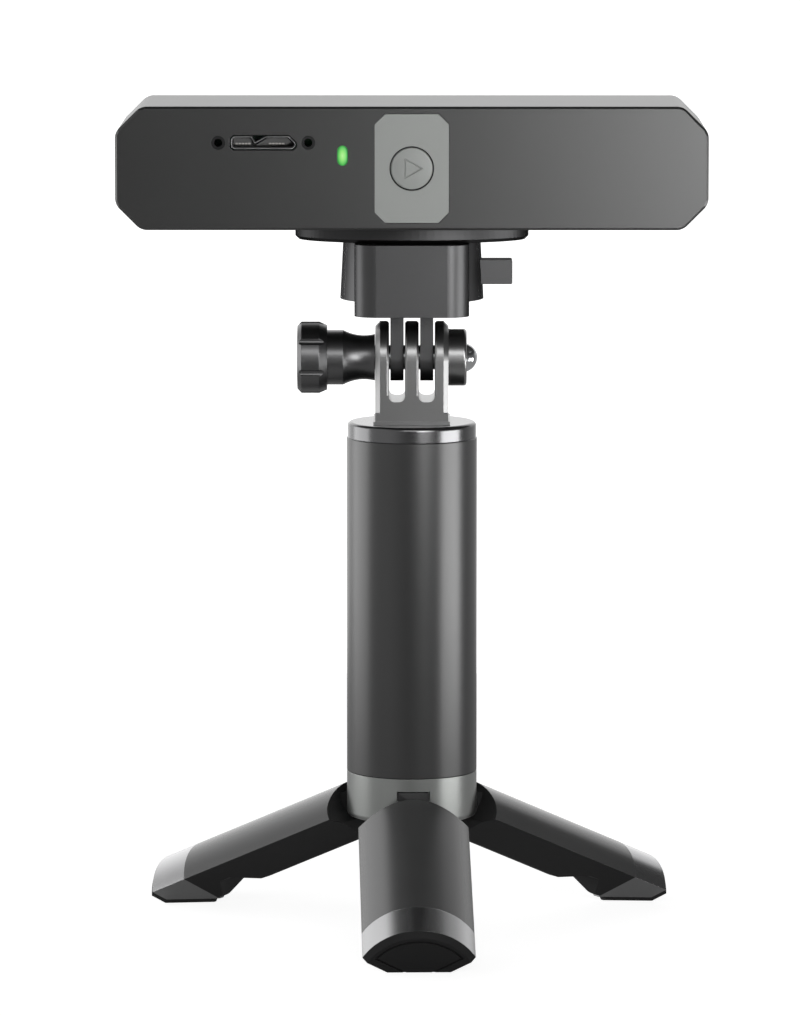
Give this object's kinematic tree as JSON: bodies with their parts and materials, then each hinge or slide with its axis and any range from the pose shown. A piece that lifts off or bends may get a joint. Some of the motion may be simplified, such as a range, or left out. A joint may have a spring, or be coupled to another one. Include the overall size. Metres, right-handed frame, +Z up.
{
  "type": "three-d scanner",
  "caption": "Hand-held 3-D scanner: bevelled metal head with scan button and socket, on a quick-release tilting clevis and a tube grip with folding legs",
  "frame": {"origin": "on the grip's axis, in the plane of the floor under the spread legs", "axes": "+Z up along the grip, +Y the way the lenses look, +X to the operator's right"},
  "size_m": [0.12, 0.0978, 0.1704],
  "materials": {
    "head_metal": "dark grey anodised, satin",
    "mount_metal": "dark grey anodised, satin",
    "grip_metal": "dark grey anodised, satin",
    "clevis_metal": "dark grey, half gloss",
    "hub_metal": "pale grey anodised, satin",
    "foot_metal": "silver, satin",
    "bench_metal": "bare cast metal",
    "pale_plastic": "pale grey, fine satin",
    "black_gloss": "black, glossy",
    "black_plastic": "black, matt",
    "steel": "bright steel",
    "black_steel": "blackened steel",
    "chrome": "polished",
    "brass": "turned",
    "lens_glass": "coated",
    "lamp_plastic": "clear, domed",
    "light_pipe": "green, lit",
    "rubber": "black, matt",
    "board": "green, varnished"
  },
  "bodies": {
    "handle": {"clevis": "clevis_metal", "pivot_nut": "chrome", "clevis_screw": "steel", "handle_cap": "grip_metal", "handle_tube": "grip_metal", "leg_hub": "hub_metal", "leg_pins": "steel", "hub_clamp": "black_plastic", "hub_screw": "steel"},
    "thumb_screw": {"thumb_knob": "black_gloss", "pivot_bolt": "steel"},
    "head": {"housing": "head_metal", "front_cover": "black_gloss", "button_panel": "pale_plastic", "scan_switch": "steel", "status_light": "light_pipe", "usb_shell": "steel", "usb_tongues": "black_plastic", "lock_inserts": "black_steel", "left_camera": "black_plastic", "right_camera": "black_plastic", "colour_camera": "black_plastic", "projector": "black_plastic", "left_lens": "lens_glass", "right_lens": "lens_glass", "colour_lens": "lens_glass", "projector_lens": "lens_glass", "flood_lights": "lamp_plastic", "optical_bench": "bench_metal", "main_board": "board", "board_screws": "steel", "thread_insert": "brass", "quick_release_plate": "mount_metal", "plate_screw": "steel", "quick_release_body": "mount_metal", "latch_spring": "steel"},
    "scan_button": {"scan_button": "pale_plastic", "switch_plunger": "black_plastic"},
    "release_latch": {"release_latch": "mount_metal"},
    "front_leg": {"front_leg_shell": "grip_metal", "front_leg_core": "black_plastic", "front_foot_cap": "foot_metal", "front_foot_pad": "rubber"},
    "left_leg": {"left_leg_shell": "grip_metal", "left_leg_core": "black_plastic", "left_foot_cap": "foot_metal", "left_foot_pad": "rubber"},
    "right_leg": {"right_leg_shell": "grip_metal", "right_leg_core": "black_plastic", "right_foot_cap": "foot_metal", "right_foot_pad": "rubber"}
  },
  "joints": [
    {"name": "head_tilt", "type": "hinge", "parent": "handle", "child": "head", "pos_m": [0, 0, 0.11768], "axis": [1, 0, 0], "range_deg": [-75, 75]},
    {"name": "knob_turn", "type": "hinge", "parent": "handle", "child": "thumb_screw", "pos_m": [0, 0, 0.11768], "axis": [1, 0, 0], "continuous": true},
    {"name": "button_press", "type": "slide", "parent": "head", "child": "scan_button", "axis": [0, 1, 0], "range_m": [0, 0.0004], "stiffness_N_per_m": 4000, "springref_m": -0.0002},
    {"name": "latch_press", "type": "slide", "parent": "head", "child": "release_latch", "axis": [-1, 0, 0], "range_m": [0, 0.0025], "stiffness_N_per_m": 1500, "springref_m": -0.001, "deforming": ["latch_spring"]},
    {"name": "front_leg_fold", "type": "hinge", "parent": "handle", "child": "front_leg", "pos_m": [0.00026, -0.0094, 0.02658], "axis": [0.9996, 0.0279, 0], "range_deg": [0, 66]},
    {"name": "left_leg_fold", "type": "hinge", "parent": "handle", "child": "left_leg", "pos_m": [-0.00827, 0.00447, 0.02658], "axis": [-0.4756, -0.8796, 0], "range_deg": [0, 66]},
    {"name": "right_leg_fold", "type": "hinge", "parent": "handle", "child": "right_leg", "pos_m": [0.00801, 0.00492, 0.02658], "axis": [-0.524, 0.8517, 0], "range_deg": [0, 66]}
  ]
}
